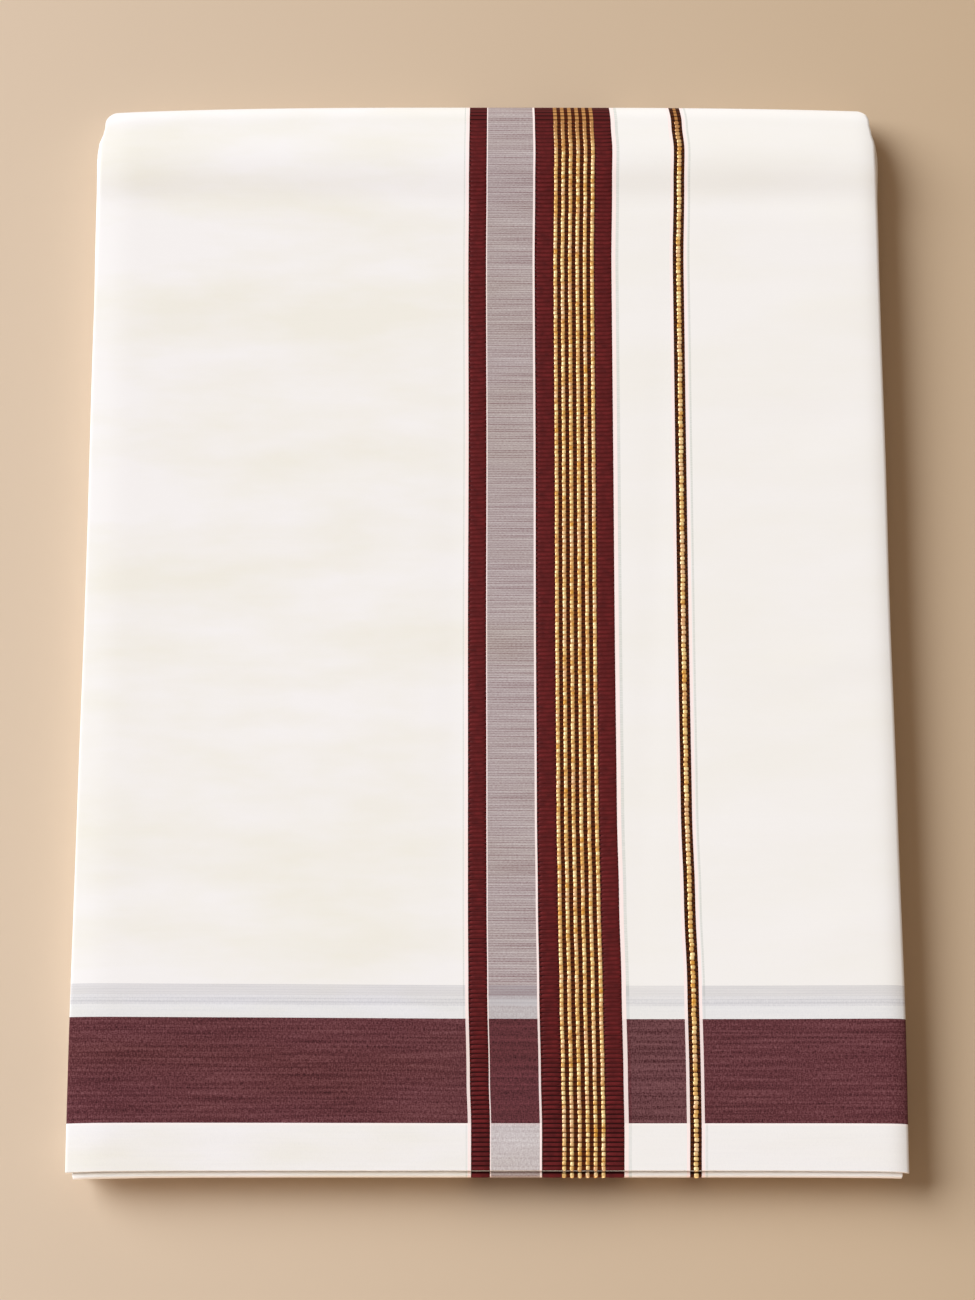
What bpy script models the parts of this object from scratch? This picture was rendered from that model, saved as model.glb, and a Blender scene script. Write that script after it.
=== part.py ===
"""Dhoti cloth, folded flat into a bundle.

The cloth is one woven cotton length, 1.27 m wide and about 3.6 m long.  It is folded lengthwise in four,
which makes a strip of four plies, and the strip is folded across into eight leaves: in a zigzag of four,
and then once in half.  Leaves 1, 2 and 3 are the outer leaf: the top with the cut end in front, the big
fold at the back, the underside, and the low fold in front.  Leaves 4 and 5 are the second fold, which
reaches out a little under the cut end.  Leaves 6, 7 and 8 are hidden.

Every leaf is first laid in a flat, even stack, X across the strip, Y from the front to the big fold, and
Z up.  settle() then gives the stack its lie: sides that sink, a back that puffs up before its fold, and
a fold that bows.
"""

from collections import namedtuple
from math import cos, pi, radians, sin, sqrt

import bmesh
import bpy

for old_object in list(bpy.data.objects):
    bpy.data.objects.remove(old_object, do_unlink=True)

MM = 0.001

# Driving dimensions, in metres.
BUNDLE_LENGTH = 443.7 * MM       # cut end of the top leaf to the back of the big fold
BUNDLE_HALF_WIDTH = 159.0 * MM   # half of a quarter of the cloth's 1.27 m
LEAF = 1.7 * MM                  # four loose plies of fine cotton
LEAF_GAP = 0.42 * MM             # air between two leaves
LEAF_COUNT = 8

LEAF_PITCH = LEAF + LEAF_GAP
STACK = LEAF_COUNT * LEAF_PITCH - LEAF_GAP
EDGE_RADIUS = LEAF / 2

# How far each fold or end lies behind the cut end of the top leaf, in front (minus reaches out).
SECOND_FOLD_SETBACK = -2.1 * MM
END_LEAF_SETBACK = 2.6 * MM
THIRD_FOLD_SETBACK = 1.2 * MM
LOW_FOLD_SETBACK = 1.8 * MM

# Plan corners of the folds.
FRONT_CORNER = 4.0 * MM
SECOND_FOLD_CORNER = 1.2 * MM
BACK_CORNER = 7.0 * MM

# How the stack lies.  The top sinks towards its side edges, in a wide soft shoulder on the left and a
# tighter one on the right.
Shoulder = namedtuple("Shoulder", "drop width power")
LEFT_SHOULDER = Shoulder(drop=0.85 * MM, width=15.0 * MM, power=1.7)
RIGHT_SHOULDER = Shoulder(drop=1.2 * MM, width=14.0 * MM, power=4.5)
LOW_FOLD_TUCK = 2.0 * MM         # the low fold in front draws in by this on each side
FOLD_BOW_LEFT = 2.8 * MM         # the back folds bow: their ends stay this far behind their middle
FOLD_BOW_RIGHT = 2.0 * MM
FOLD_BOW_REACH = 64.0 * MM       # how far in front of the big fold the bow dies away

CENTRE_Y = (BUNDLE_LENGTH + SECOND_FOLD_SETBACK) / 2

# The top's rise above the even stack, along the bundle: the cut end droops, the body is nearly level, and
# the cloth puffs up into a soft roll before it turns over the big fold.
Lie = namedtuple("Lie", "y rise")
LIE = (
    Lie(y=0.0 * MM, rise=-0.35 * MM),
    Lie(y=14.0 * MM, rise=0.0 * MM),
    Lie(y=110.0 * MM, rise=0.25 * MM),
    Lie(y=230.0 * MM, rise=-0.1 * MM),
    Lie(y=330.0 * MM, rise=0.2 * MM),
    Lie(y=395.0 * MM, rise=0.0 * MM),
    Lie(y=411.5 * MM, rise=0.75 * MM),
    Lie(y=444.0 * MM, rise=-1.7 * MM),
)

# Half widths along the bundle.  The outer leaf draws in over the big fold.  The folds inside it creep out
# from under it towards the back, and draw in sharply where they turn.
Width = namedtuple("Width", "y outer second hidden")
WIDTHS = (
    Width(y=0.0 * MM, outer=159.0 * MM, second=156.8 * MM, hidden=156.9 * MM),
    Width(y=60.0 * MM, outer=159.2 * MM, second=157.0 * MM, hidden=157.4 * MM),
    Width(y=220.0 * MM, outer=158.3 * MM, second=157.6 * MM, hidden=158.0 * MM),
    Width(y=340.0 * MM, outer=158.2 * MM, second=158.4 * MM, hidden=158.7 * MM),
    Width(y=400.0 * MM, outer=158.0 * MM, second=158.8 * MM, hidden=159.1 * MM),
    Width(y=424.0 * MM, outer=157.8 * MM, second=159.0 * MM, hidden=159.7 * MM),
    Width(y=430.5 * MM, outer=156.7 * MM, second=158.0 * MM, hidden=158.7 * MM),
    Width(y=434.0 * MM, outer=156.1 * MM, second=156.4 * MM, hidden=156.5 * MM),
    Width(y=444.0 * MM, outer=155.8 * MM, second=155.2 * MM, hidden=155.4 * MM),
)

# How far each leaf stays back from its width at its left and right edges, from the underside up.
Edge = namedtuple("Edge", "left right")
LEAF_EDGES = (
    Edge(left=1.2 * MM, right=1.0 * MM),
    Edge(left=0.8 * MM, right=1.3 * MM),
    Edge(left=0.5 * MM, right=0.0 * MM),
    Edge(left=0.1 * MM, right=0.6 * MM),
    Edge(left=0.5 * MM, right=0.3 * MM),
    Edge(left=0.1 * MM, right=0.2 * MM),
    Edge(left=0.0 * MM, right=0.4 * MM),
    Edge(left=0.0 * MM, right=0.0 * MM),
)

# Where the meshes have rows and columns, closer together where the cloth curves.
ROWS = [y * MM for y in (14, 60, 150, 240, 320, 368, 389, 397, 405, 413, 421)]
CUT_END_ROWS = [y * MM for y in (0.0, 1.5, 6.0)]
LAST_TOP_ROW = 429.0 * MM
COLUMN_INSETS = [inset * MM for inset in (2.4, 3.6, 5.0, 6.8, 9.0, 16.0, 60.0, 110.0)]
FRONT_STEPS = [step * MM for step in (0.0, 0.4, 1.2, 2.4, 4.2)]
BACK_SHARES = (0.35, 0.6, 0.75, 0.87, 0.95, 1.0)     # of the way from the last row to a block's back
LOBE_ANGLES = [radians(angle) for angle in (-90, -50, 0, 50, 90)]
BIG_FOLD_STEPS = 12
LOW_FOLD_STEPS = 8


def between(rows, column, y):
    """A table column's value at y, eased smoothly from each row to the next."""
    if y <= rows[0].y:
        return getattr(rows[0], column)
    for low, high in zip(rows, rows[1:]):
        if y <= high.y:
            share = (y - low.y) / (high.y - low.y)
            ease = (1 - cos(pi * share)) / 2
            return getattr(low, column) * (1 - ease) + getattr(high, column) * ease
    return getattr(rows[-1], column)


def blend(low, high, share):
    return low * (1 - share) + high * share


def settle(point):
    """Moves a point of the even stack to where it lies in the bundle."""
    x, y, z = point
    shoulder = LEFT_SHOULDER if x < 0 else RIGHT_SHOULDER
    from_side = min(max(BUNDLE_HALF_WIDTH - abs(x), 0.0), shoulder.width)
    drop = shoulder.drop * (1 - from_side / shoulder.width) ** shoulder.power
    rise = between(LIE, "rise", y) - drop
    bow = FOLD_BOW_LEFT if x < 0 else FOLD_BOW_RIGHT
    near_fold = max(1 - (BUNDLE_LENGTH - y) / FOLD_BOW_REACH, 0.0)
    pull = bow * (abs(x) / BUNDLE_HALF_WIDTH) ** 3 * near_fold ** 2
    return (x, y - pull - CENTRE_Y, z * (1 + rise / STACK))


def leaf_bottom(slot):
    """Height of a leaf's lower face in the even stack; slot 0 is the underside."""
    return slot * LEAF_PITCH


def leaf_middle(slot):
    return leaf_bottom(slot) + LEAF / 2


def round_corner(radius, from_end):
    """How far a rounded plan corner draws the side in, at a distance from the end."""
    reach = radius - min(max(from_end, 0.0), radius)
    return radius - sqrt(radius * radius - reach * reach)


def add_object(name, mesh_data, colour):
    """Closes a bmesh into an object with its own cotton material."""
    for vertex in mesh_data.verts:
        vertex.co = settle(vertex.co)
    bmesh.ops.recalc_face_normals(mesh_data, faces=mesh_data.faces)
    mesh = bpy.data.meshes.new(name)
    mesh_data.to_mesh(mesh)
    mesh_data.free()
    mesh.shade_smooth()
    mesh.set_sharp_from_angle(angle=radians(50))

    material = bpy.data.materials.new(name + "_cotton")
    material.use_nodes = True
    shader = material.node_tree.nodes["Principled BSDF"]
    shader.inputs["Base Color"].default_value = (*colour, 1.0)
    shader.inputs["Roughness"].default_value = 0.9
    shader.inputs["Metallic"].default_value = 0.0
    mesh.materials.append(material)
    bpy.context.collection.objects.link(bpy.data.objects.new(name, mesh))


# The outer leaf: one wall of four plies, swept along its path through the stack.

Station = namedtuple("Station", "y z normal_y normal_z tuck_left tuck_right")


def outer_leaf_path():
    """Stations of the wall's middle, with the direction that faces out of the wall."""
    top_edge, underside_edge, third_edge = LEAF_EDGES[-1], LEAF_EDGES[0], LEAF_EDGES[1]
    big_radius = STACK / 2
    arc_radius = big_radius - LEAF / 2
    big_centre_y = BUNDLE_LENGTH - big_radius
    low_radius = LEAF_PITCH / 2
    low_centre_y = LOW_FOLD_SETBACK + low_radius + LEAF / 2

    path = []
    for y in (*CUT_END_ROWS, *ROWS, LAST_TOP_ROW):
        path.append(Station(y, leaf_middle(LEAF_COUNT - 1), 0, 1, *top_edge))
    for step in range(BIG_FOLD_STEPS + 1):
        share = step / BIG_FOLD_STEPS
        angle = pi / 2 - pi * share
        reach = arc_radius * cos(angle)
        height = big_radius + arc_radius * sin(angle)
        corner = round_corner(BACK_CORNER, arc_radius - reach)
        tuck_left = corner + blend(top_edge.left, underside_edge.left, share)
        tuck_right = corner + blend(top_edge.right, underside_edge.right, share)
        path.append(Station(big_centre_y + reach, height, cos(angle), sin(angle), tuck_left, tuck_right))
    for y in ROWS[::-2]:
        path.append(Station(y, leaf_middle(0), 0, -1, *underside_edge))
    for step in range(LOW_FOLD_STEPS + 1):
        share = step / LOW_FOLD_STEPS
        angle = -pi / 2 - pi * share
        y = low_centre_y + low_radius * cos(angle)
        z = leaf_middle(0) + low_radius + low_radius * sin(angle)
        tuck_left = blend(underside_edge.left, third_edge.left, share) - LOW_FOLD_TUCK * cos(angle)
        tuck_right = blend(underside_edge.right, third_edge.right, share) - LOW_FOLD_TUCK * cos(angle)
        path.append(Station(y, z, cos(angle), sin(angle), tuck_left, tuck_right))
    for y in (*ROWS, big_centre_y - LEAF_GAP):
        path.append(Station(y, leaf_middle(1), 0, 1, *third_edge))
    return path


def wall_ring(station):
    """One closed ring round the wall: outer face, right edge, inner face, left edge."""
    half_width = between(WIDTHS, "outer", station.y)
    left = half_width - station.tuck_left
    right = half_width - station.tuck_right
    columns = [inset - left for inset in COLUMN_INSETS] + [0.0]
    columns += [right - inset for inset in reversed(COLUMN_INSETS)]
    edge = [(EDGE_RADIUS * (1 - cos(angle)), EDGE_RADIUS * sin(angle)) for angle in LOBE_ANGLES]
    ring = [(x, LEAF / 2) for x in columns]
    ring += [(right - inset, offset) for inset, offset in reversed(edge)]
    ring += [(x, -LEAF / 2) for x in reversed(columns)]
    ring += [(inset - left, offset) for inset, offset in edge]
    return [(x, station.y + offset * station.normal_y, station.z + offset * station.normal_z)
            for x, offset in ring]


def close_ring(mesh_data, ring):
    """Fills an end of the wall with a quad between each pair of columns, and its two round edges."""
    column_count = 2 * len(COLUMN_INSETS) + 1
    edge_count = len(LOBE_ANGLES)
    lower_start = column_count + edge_count
    lower = ring[lower_start:lower_start + column_count][::-1]
    for left in range(column_count - 1):
        mesh_data.faces.new((ring[left], ring[left + 1], lower[left + 1], lower[left]))
    mesh_data.faces.new(ring[column_count - 1:lower_start + 1])
    mesh_data.faces.new(ring[lower_start + column_count - 1:] + ring[:1])


def make_outer_leaf():
    mesh_data = bmesh.new()
    rings = [[mesh_data.verts.new(point) for point in wall_ring(station)] for station in outer_leaf_path()]
    for ring, following in zip(rings, rings[1:]):
        for here in range(len(ring)):
            after = (here + 1) % len(ring)
            mesh_data.faces.new((ring[here], ring[after], following[after], following[here]))
    close_ring(mesh_data, rings[0])
    close_ring(mesh_data, rings[-1])
    add_object("outer_leaf", mesh_data, (0.92, 0.89, 0.85))


# The folds inside it: blocks of leaves, pressed together, with a groove between leaves at their sides.

Level = namedtuple("Level", "z left_inset right_inset front")


def leaf_levels(slots, front_of):
    """Heights up a block's side, round each leaf's edge, with where its front lies at each."""
    levels = []
    for slot in slots:
        for angle in LOBE_ANGLES:
            z = leaf_middle(slot) + EDGE_RADIUS * sin(angle)
            groove = EDGE_RADIUS * (1 - cos(angle))
            edge = LEAF_EDGES[slot]
            levels.append(Level(z, edge.left + groove, edge.right + groove, front_of(z)))
    return levels


def fold_front(z, low_slot, setback):
    """Front of a fold that joins two leaves, which is half round."""
    radius = (LEAF_PITCH + LEAF) / 2
    middle = leaf_bottom(low_slot) + radius
    return setback + radius - sqrt(max(radius * radius - (z - middle) ** 2, 0.0))


def back_of_block(z):
    """Back of a block, which nests in the big fold."""
    big_radius = STACK / 2
    radius = big_radius - LEAF_PITCH
    return BUNDLE_LENGTH - big_radius + sqrt(max(radius * radius - (z - big_radius) ** 2, 0.0))


def block_rows(level, width_column, front_corner):
    """Places along a block at one level: y and the half width there, with rounded plan corners."""
    back = back_of_block(level.z)
    rows = []
    for step in FRONT_STEPS:
        y = level.front + step
        rows.append((y, between(WIDTHS, width_column, y) - round_corner(front_corner, step)))
    rows += [(y, between(WIDTHS, width_column, y)) for y in ROWS]
    for share in BACK_SHARES:
        y = blend(ROWS[-1], back, share)
        rows.append((y, between(WIDTHS, width_column, y) - round_corner(BACK_CORNER, back - y)))
    return rows


def block_columns(level, half_width):
    """Places across a block at one level and row, from its left edge to its right edge."""
    left = level.left_inset - half_width
    right = half_width - level.right_inset
    columns = [inset - half_width for inset in COLUMN_INSETS] + [0.0]
    columns += [half_width - inset for inset in reversed(COLUMN_INSETS)]
    return [left, *columns, right]


def make_block(name, levels, width_column, front_corner, colour):
    """A closed block: a grid of columns, rows and levels, of which only the surface is kept."""
    points = [[[(x, y, level.z) for x in block_columns(level, half_width)]
               for y, half_width in block_rows(level, width_column, front_corner)] for level in levels]
    last = (len(points) - 1, len(points[0]) - 1, len(points[0][0]) - 1)
    mesh_data = bmesh.new()
    grid = {}
    for height, rows in enumerate(points):
        for row, columns in enumerate(rows):
            for column, point in enumerate(columns):
                place = (height, row, column)
                if any(index in (0, end) for index, end in zip(place, last)):
                    grid[place] = mesh_data.verts.new(point)
    for across in range(3):
        first, second = [axis for axis in range(3) if axis != across]
        for end in (0, last[across]):
            for u in range(last[first]):
                for v in range(last[second]):
                    corners = []
                    for du, dv in ((0, 0), (1, 0), (1, 1), (0, 1)):
                        place = [0, 0, 0]
                        place[across] = end
                        place[first] = u + du
                        place[second] = v + dv
                        corners.append(grid[tuple(place)])
                    mesh_data.faces.new(corners)
    add_object(name, mesh_data, colour)


def make_second_fold():
    levels = leaf_levels((5, 6), lambda z: fold_front(z, 5, SECOND_FOLD_SETBACK))
    make_block("second_fold", levels, "second", SECOND_FOLD_CORNER, (0.90, 0.87, 0.82))


def make_inner_folds():
    def front_of(z):
        if z > leaf_bottom(4) - LEAF_GAP / 2:
            return END_LEAF_SETBACK
        return fold_front(z, 2, THIRD_FOLD_SETBACK)

    levels = leaf_levels((2, 3, 4), front_of)
    make_block("inner_folds", levels, "hidden", FRONT_CORNER, (0.88, 0.84, 0.79))


make_outer_leaf()
make_second_fold()
make_inner_folds()
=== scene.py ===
from collections import namedtuple

import bpy
import numpy as np
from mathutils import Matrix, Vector


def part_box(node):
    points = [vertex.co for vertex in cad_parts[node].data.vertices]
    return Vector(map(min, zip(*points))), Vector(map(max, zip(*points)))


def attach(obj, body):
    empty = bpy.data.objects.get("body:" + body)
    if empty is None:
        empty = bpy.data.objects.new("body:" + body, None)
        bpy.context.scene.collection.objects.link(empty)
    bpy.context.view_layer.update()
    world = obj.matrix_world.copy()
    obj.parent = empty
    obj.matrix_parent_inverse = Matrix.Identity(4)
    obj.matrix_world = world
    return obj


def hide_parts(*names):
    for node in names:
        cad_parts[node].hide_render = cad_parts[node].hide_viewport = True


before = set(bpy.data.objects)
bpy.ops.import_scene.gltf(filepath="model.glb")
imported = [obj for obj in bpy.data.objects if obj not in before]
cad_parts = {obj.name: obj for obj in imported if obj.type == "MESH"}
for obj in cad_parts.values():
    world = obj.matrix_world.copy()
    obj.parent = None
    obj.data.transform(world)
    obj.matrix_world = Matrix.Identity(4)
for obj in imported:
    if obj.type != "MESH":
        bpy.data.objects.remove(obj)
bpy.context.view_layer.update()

# ---- Outer leaf ----
# The dhoti is one woven cotton length, 1.27 m wide.  It is folded lengthwise in four, to and fro, which
# makes a strip of four plies, and the strip is folded across into eight leaves.  The outer leaf is leaf 1
# on top, from its cut end in front, the big fold at the back, leaf 2 underneath, and leaf 3 above that.

MM = 0.001
PLY = 0.38 * MM                  # one thickness of the cotton
PLY_GAP = 0.08 * MM              # air between two plies
PLY_PITCH = PLY + PLY_GAP
LEAF = 4 * PLY + 3 * PLY_GAP     # a leaf of the bundle has four plies
LEAF_GAP = 0.36 * MM
LEAF_PITCH = LEAF + LEAF_GAP
STACK = 7 * LEAF_PITCH + LEAF    # eight leaves: slot 0 is the underside and slot 7 the top
CLOTH_WIDTH = 1.27
CLOTH_LENGTH = 3.53              # all three pieces of it together
EDGE_SPREAD = 0.25 * MM          # the plies' edges don't lie quite over each other
HALF_WIDTH = CLOTH_WIDTH / 8 + EDGE_SPREAD

# Along the bundle, places are measured from the cut end to the back.
outer_low, outer_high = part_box("outer_leaf")
CUT_END = outer_low.y
BUNDLE_LENGTH = outer_high.y - outer_low.y
TURN = BUNDLE_LENGTH - STACK / 2   # the nested back folds all turn round this line

# Tables with a row for each place are in millimetres.  The top's rise above an even stack:
Lie = namedtuple("Lie", "y rise")
LIE = (
    Lie(y=0, rise=-0.35),
    Lie(y=14, rise=0),
    Lie(y=110, rise=0.25),
    Lie(y=230, rise=-0.1),
    Lie(y=330, rise=0.2),
    Lie(y=395, rise=0),
    Lie(y=413, rise=1.25),
    Lie(y=444.5, rise=-2.35),
)
# The top sinks towards its sides, in a wide soft shoulder on the left and a tighter one on the right.
Shoulder = namedtuple("Shoulder", "drop width power")
LEFT_SHOULDER = Shoulder(drop=0.85 * MM, width=15 * MM, power=1.7)
RIGHT_SHOULDER = Shoulder(drop=1.2 * MM, width=14 * MM, power=4.5)
# The ends of the back folds are drawn in, so that the folds bow.
FOLD_BOW_LEFT = 2.8 * MM
FOLD_BOW_RIGHT = 2.0 * MM
FOLD_BOW_REACH = 64 * MM         # from the back
# The front corners reach out a little.
FRONT_SPLAY = 0.6 * MM
FRONT_SPLAY_REACH = 30 * MM      # from the cut end
# The fold under the cut end reaches out 2 mm.  It stretches (+) or draws back (-) a little, more so at its
# ends, and puffs up, most in front.
FRONT_REACH = 2 * MM
FOLD_STRETCH = -0.08 * MM
FOLD_SPLAY_LEFT = 0.35 * MM
FOLD_SPLAY_RIGHT = -0.15 * MM
FRONT_PUFF = 1.9 * MM
Puff = namedtuple("Puff", "share power")
PUFF_PARTS = (Puff(share=0.27, power=0.4), Puff(share=0.73, power=2.2))
# The powers by which these grow, towards the sides, towards the back, and up through the stack.
BOW_TO_SIDES, BOW_TO_BACK = 3, 2
SPLAY_TO_SIDES, FOLD_SPLAY_TO_SIDES = 8, 6
PUFF_UPWARDS = 4

# Soft troughs (-) and ridges (+), pressed in by hand: middle, heading in degrees, reach each way along and
# across it, and rise.
Crease = namedtuple("Crease", "x y heading length width rise")
CREASES = (
    Crease(x=-128, y=401, heading=2, length=34, width=6.5, rise=-0.34),
    Crease(x=-52, y=402, heading=-1, length=42, width=6, rise=-0.26),
    Crease(x=62, y=403, heading=1, length=34, width=8, rise=-0.45),
    Crease(x=124, y=402, heading=-2, length=38, width=8.5, rise=-0.8),
    Crease(x=-96, y=421, heading=-1, length=60, width=9, rise=0.22),
    Crease(x=104, y=424, heading=2, length=44, width=8, rise=0.2),
    Crease(x=-132, y=352, heading=4, length=26, width=9, rise=0.2),
    Crease(x=-92, y=316, heading=-3, length=52, width=11, rise=-0.16),
    Crease(x=-60, y=270, heading=5, length=48, width=10, rise=0.14),
    Crease(x=-118, y=214, heading=-4, length=40, width=9, rise=-0.18),
    Crease(x=-78, y=158, heading=3, length=56, width=12, rise=0.16),
    Crease(x=-124, y=112, heading=-2, length=34, width=9, rise=-0.2),
    Crease(x=-58, y=88, heading=2, length=38, width=8, rise=0.12),
    Crease(x=140, y=350, heading=-6, length=20, width=6, rise=0.2),
    Crease(x=132, y=303, heading=-4, length=28, width=6, rise=-0.24),
    Crease(x=142, y=285, heading=-8, length=18, width=5.5, rise=0.26),
    Crease(x=136, y=202, heading=6, length=22, width=6, rise=0.26),
    Crease(x=118, y=186, heading=4, length=34, width=7, rise=-0.16),
    Crease(x=110, y=132, heading=-3, length=30, width=8, rise=0.12),
    Crease(x=138, y=94, heading=5, length=22, width=7, rise=0.2),
    Crease(x=66, y=232, heading=87, length=150, width=5, rise=-0.1),
    Crease(x=-13, y=216, heading=90, length=170, width=5, rise=-0.1),
)


def eased(table, column, y):
    """A table column's values at y, eased from each row to the next."""
    places = np.array([row.y for row in table]) * MM
    values = np.array([getattr(row, column) for row in table]) * MM
    low = np.clip(np.searchsorted(places, y) - 1, 0, len(places) - 2)
    share = np.clip((y - places[low]) / (places[low + 1] - places[low]), 0, 1)
    ease = (1 - np.cos(np.pi * share)) / 2
    return values[low] * (1 - ease) + values[low + 1] * ease


def crease_rise(x, y):
    """How much the creases lift the top at a place."""
    rise = np.zeros_like(x)
    for crease in CREASES:
        heading = np.radians(crease.heading)
        right, back = x - crease.x * MM, y - crease.y * MM
        along = right * np.cos(heading) + back * np.sin(heading)
        across = back * np.cos(heading) - right * np.sin(heading)
        fade = (along / (crease.length * MM)) ** 2 + (across / (crease.width * MM)) ** 2
        rise += crease.rise * MM * np.exp(-fade)
    return rise


def settle(points):
    """Moves points of the even stack to where they lie: sunk sides, a puffed-up back, and bowed folds."""
    x, y, z = np.moveaxis(points, -1, 0)
    to_side = np.abs(x) / HALF_WIDTH
    drops = []
    for shoulder in (LEFT_SHOULDER, RIGHT_SHOULDER):
        from_side = np.clip(HALF_WIDTH - np.abs(x), 0, shoulder.width)
        drops.append(shoulder.drop * (1 - from_side / shoulder.width) ** shoulder.power)
    rise = eased(LIE, "rise", y) - np.where(x < 0, *drops) + crease_rise(x, y)
    bow = np.where(x < 0, FOLD_BOW_LEFT, FOLD_BOW_RIGHT)
    near_fold = np.clip(1 - (BUNDLE_LENGTH - y) / FOLD_BOW_REACH, 0, None)
    pull = bow * to_side ** BOW_TO_SIDES * near_fold ** BOW_TO_BACK
    near_front = np.clip(1 - y / FRONT_SPLAY_REACH, 0, 1)
    splay = FRONT_SPLAY * to_side ** SPLAY_TO_SIDES * near_front
    ahead = np.clip(-y / FRONT_REACH, 0, 1)
    fold_splay = np.where(x < 0, FOLD_SPLAY_LEFT, FOLD_SPLAY_RIGHT)
    splay += (FOLD_STRETCH + fold_splay * to_side ** FOLD_SPLAY_TO_SIDES) * ahead
    puff = FRONT_PUFF * sum(part.share * ahead ** part.power for part in PUFF_PARTS)
    puff = puff * np.clip(z / (STACK - LEAF_PITCH), 0, 1) ** PUFF_UPWARDS
    return np.stack([x, y - pull - splay + CUT_END, z * (1 + rise / STACK) + puff], axis=-1)


# Half widths along the bundle: the outer leaf draws in over the big fold, and the folds inside it creep out.
Width = namedtuple("Width", "y outer second hidden")
WIDTHS = (
    Width(y=0, outer=159, second=156.8, hidden=156.9),
    Width(y=60, outer=159.2, second=157, hidden=157.4),
    Width(y=220, outer=158.3, second=157.6, hidden=158),
    Width(y=340, outer=158.2, second=158.4, hidden=158.7),
    Width(y=400, outer=158, second=158.8, hidden=159.1),
    Width(y=424, outer=157.8, second=159, hidden=159.7),
    Width(y=430.5, outer=156.7, second=158, hidden=158.7),
    Width(y=434, outer=156.1, second=156.4, hidden=156.5),
    Width(y=444, outer=155.8, second=155.2, hidden=155.4),
)
Edge = namedtuple("Edge", "left right")
LEAF_EDGES = (                   # how far each slot's leaf stays back from that width
    Edge(left=1.2, right=1),
    Edge(left=0.8, right=1.3),
    Edge(left=0.5, right=0),
    Edge(left=0.1, right=0.6),
    Edge(left=0.5, right=0.3),
    Edge(left=0.1, right=0.2),
    Edge(left=0, right=0.4),
    Edge(left=0, right=0),
)

# A path through the stack.  Ply 1, whose selvedge is on the right, is on the facing side, and corner is how
# far a rounded plan corner draws both sides in.
Station = namedtuple("Station", "y z facing_y facing_z corner")
BACK_CORNER = 7 * MM             # the plan corners' radii
FRONT_CORNER = 4 * MM
SHOWN_CORNER = 0.4 * MM          # of the fold that shows under the cut end
FULLEST_CORNER = 0.68            # of a back corner's radius: the fold is that full at half height


def slot_height(slot):
    return slot * LEAF_PITCH + LEAF / 2


def rounded(radius, from_end):
    """How far a rounded plan corner draws a side in, at a distance from the end."""
    reach = radius - min(max(from_end, 0.0), radius)
    return radius - (radius * radius - reach * reach) ** 0.5


def leaf_run(slot, places, facing, fold_end=None, corner_radius=FRONT_CORNER):
    """Stations along a flat leaf.  Its corners are rounded next to a fold in front, at fold_end."""
    stations = []
    for y in places:
        corner = 0.0 if fold_end is None else rounded(corner_radius, y - fold_end)
        stations.append(Station(y, slot_height(slot), 0.0, facing, corner))
    return stations


def turn(slots, centre, side, facing_out, shares, corner_radius):
    """Stations round a fold from one slot to another, at shares of the half turn.

    side is 1 at the back and -1 in front; facing_out is 1 where ply 1 goes round outside and -1 inside.
    """
    start, end = slot_height(slots[0]), slot_height(slots[1])
    radius = abs(end - start) / 2
    stations = []
    for share in shares:
        rise = -np.cos(np.pi * share) * np.sign(end - start)
        reach = np.sin(np.pi * share)
        corner = rounded(corner_radius, radius * (1 - reach))
        if side < 0:
            corner = max(corner, rounded(corner_radius, radius * (1 - reach) + LEAF / 2))
        else:
            corner = min(corner, FULLEST_CORNER * corner_radius)
        stations.append(Station(centre + side * radius * reach, (start + end) / 2 + radius * rise,
                                facing_out * side * reach, facing_out * rise, corner))
    return stations


def spaced(start, end, step):
    """Places from start to end, about a step apart."""
    return list(np.linspace(start, end, max(2, round(abs(end - start) / step) + 1)))


# Stations lie closer in front, and where the back puffs up; the top has the most.
ROLL_START = 380 * MM
TOP_PLACES = [*spaced(0, 12 * MM, 1.5 * MM), *spaced(15 * MM, ROLL_START - 2 * MM, 4 * MM),
              *spaced(ROLL_START, TURN, 1.9 * MM)]
LEAF_PLACES = [0.6 * MM, 2 * MM, 4 * MM, 8 * MM, *spaced(14 * MM, ROLL_START - 6 * MM, 15 * MM),
               *spaced(ROLL_START, TURN - 2 * MM, 6 * MM)]
CLEAR_OF_FOLD = 1 * MM


def beyond(centre):
    """The leaf places behind a fold's centre line."""
    return [y for y in LEAF_PLACES if y > centre + CLEAR_OF_FOLD]


def centre_behind(fold_end):
    """The centre line of a fold in front between neighbouring leaves, whose outside is at fold_end."""
    return fold_end + LEAF_PITCH / 2 + LEAF / 2


LOW_FOLD_CENTRE = centre_behind(1.8 * MM)
SEAM = 0.012                     # share of a fold left open where two pieces of the same cloth meet
outer_path = leaf_run(7, TOP_PLACES, 1)
outer_path += turn((7, 0), TURN, 1, 1, np.linspace(0, 1, 23)[1:], BACK_CORNER)
outer_path += leaf_run(0, beyond(LOW_FOLD_CENTRE)[::-1], -1)
outer_path += turn((0, 1), LOW_FOLD_CENTRE, -1, 1, np.linspace(0, 1, 9), FRONT_CORNER)
outer_path += leaf_run(1, [*beyond(LOW_FOLD_CENTRE), TURN], 1)
outer_path += turn((1, 6), TURN, 1, -1, np.linspace(0, 0.5 - SEAM, 6)[1:], BACK_CORNER)

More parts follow.
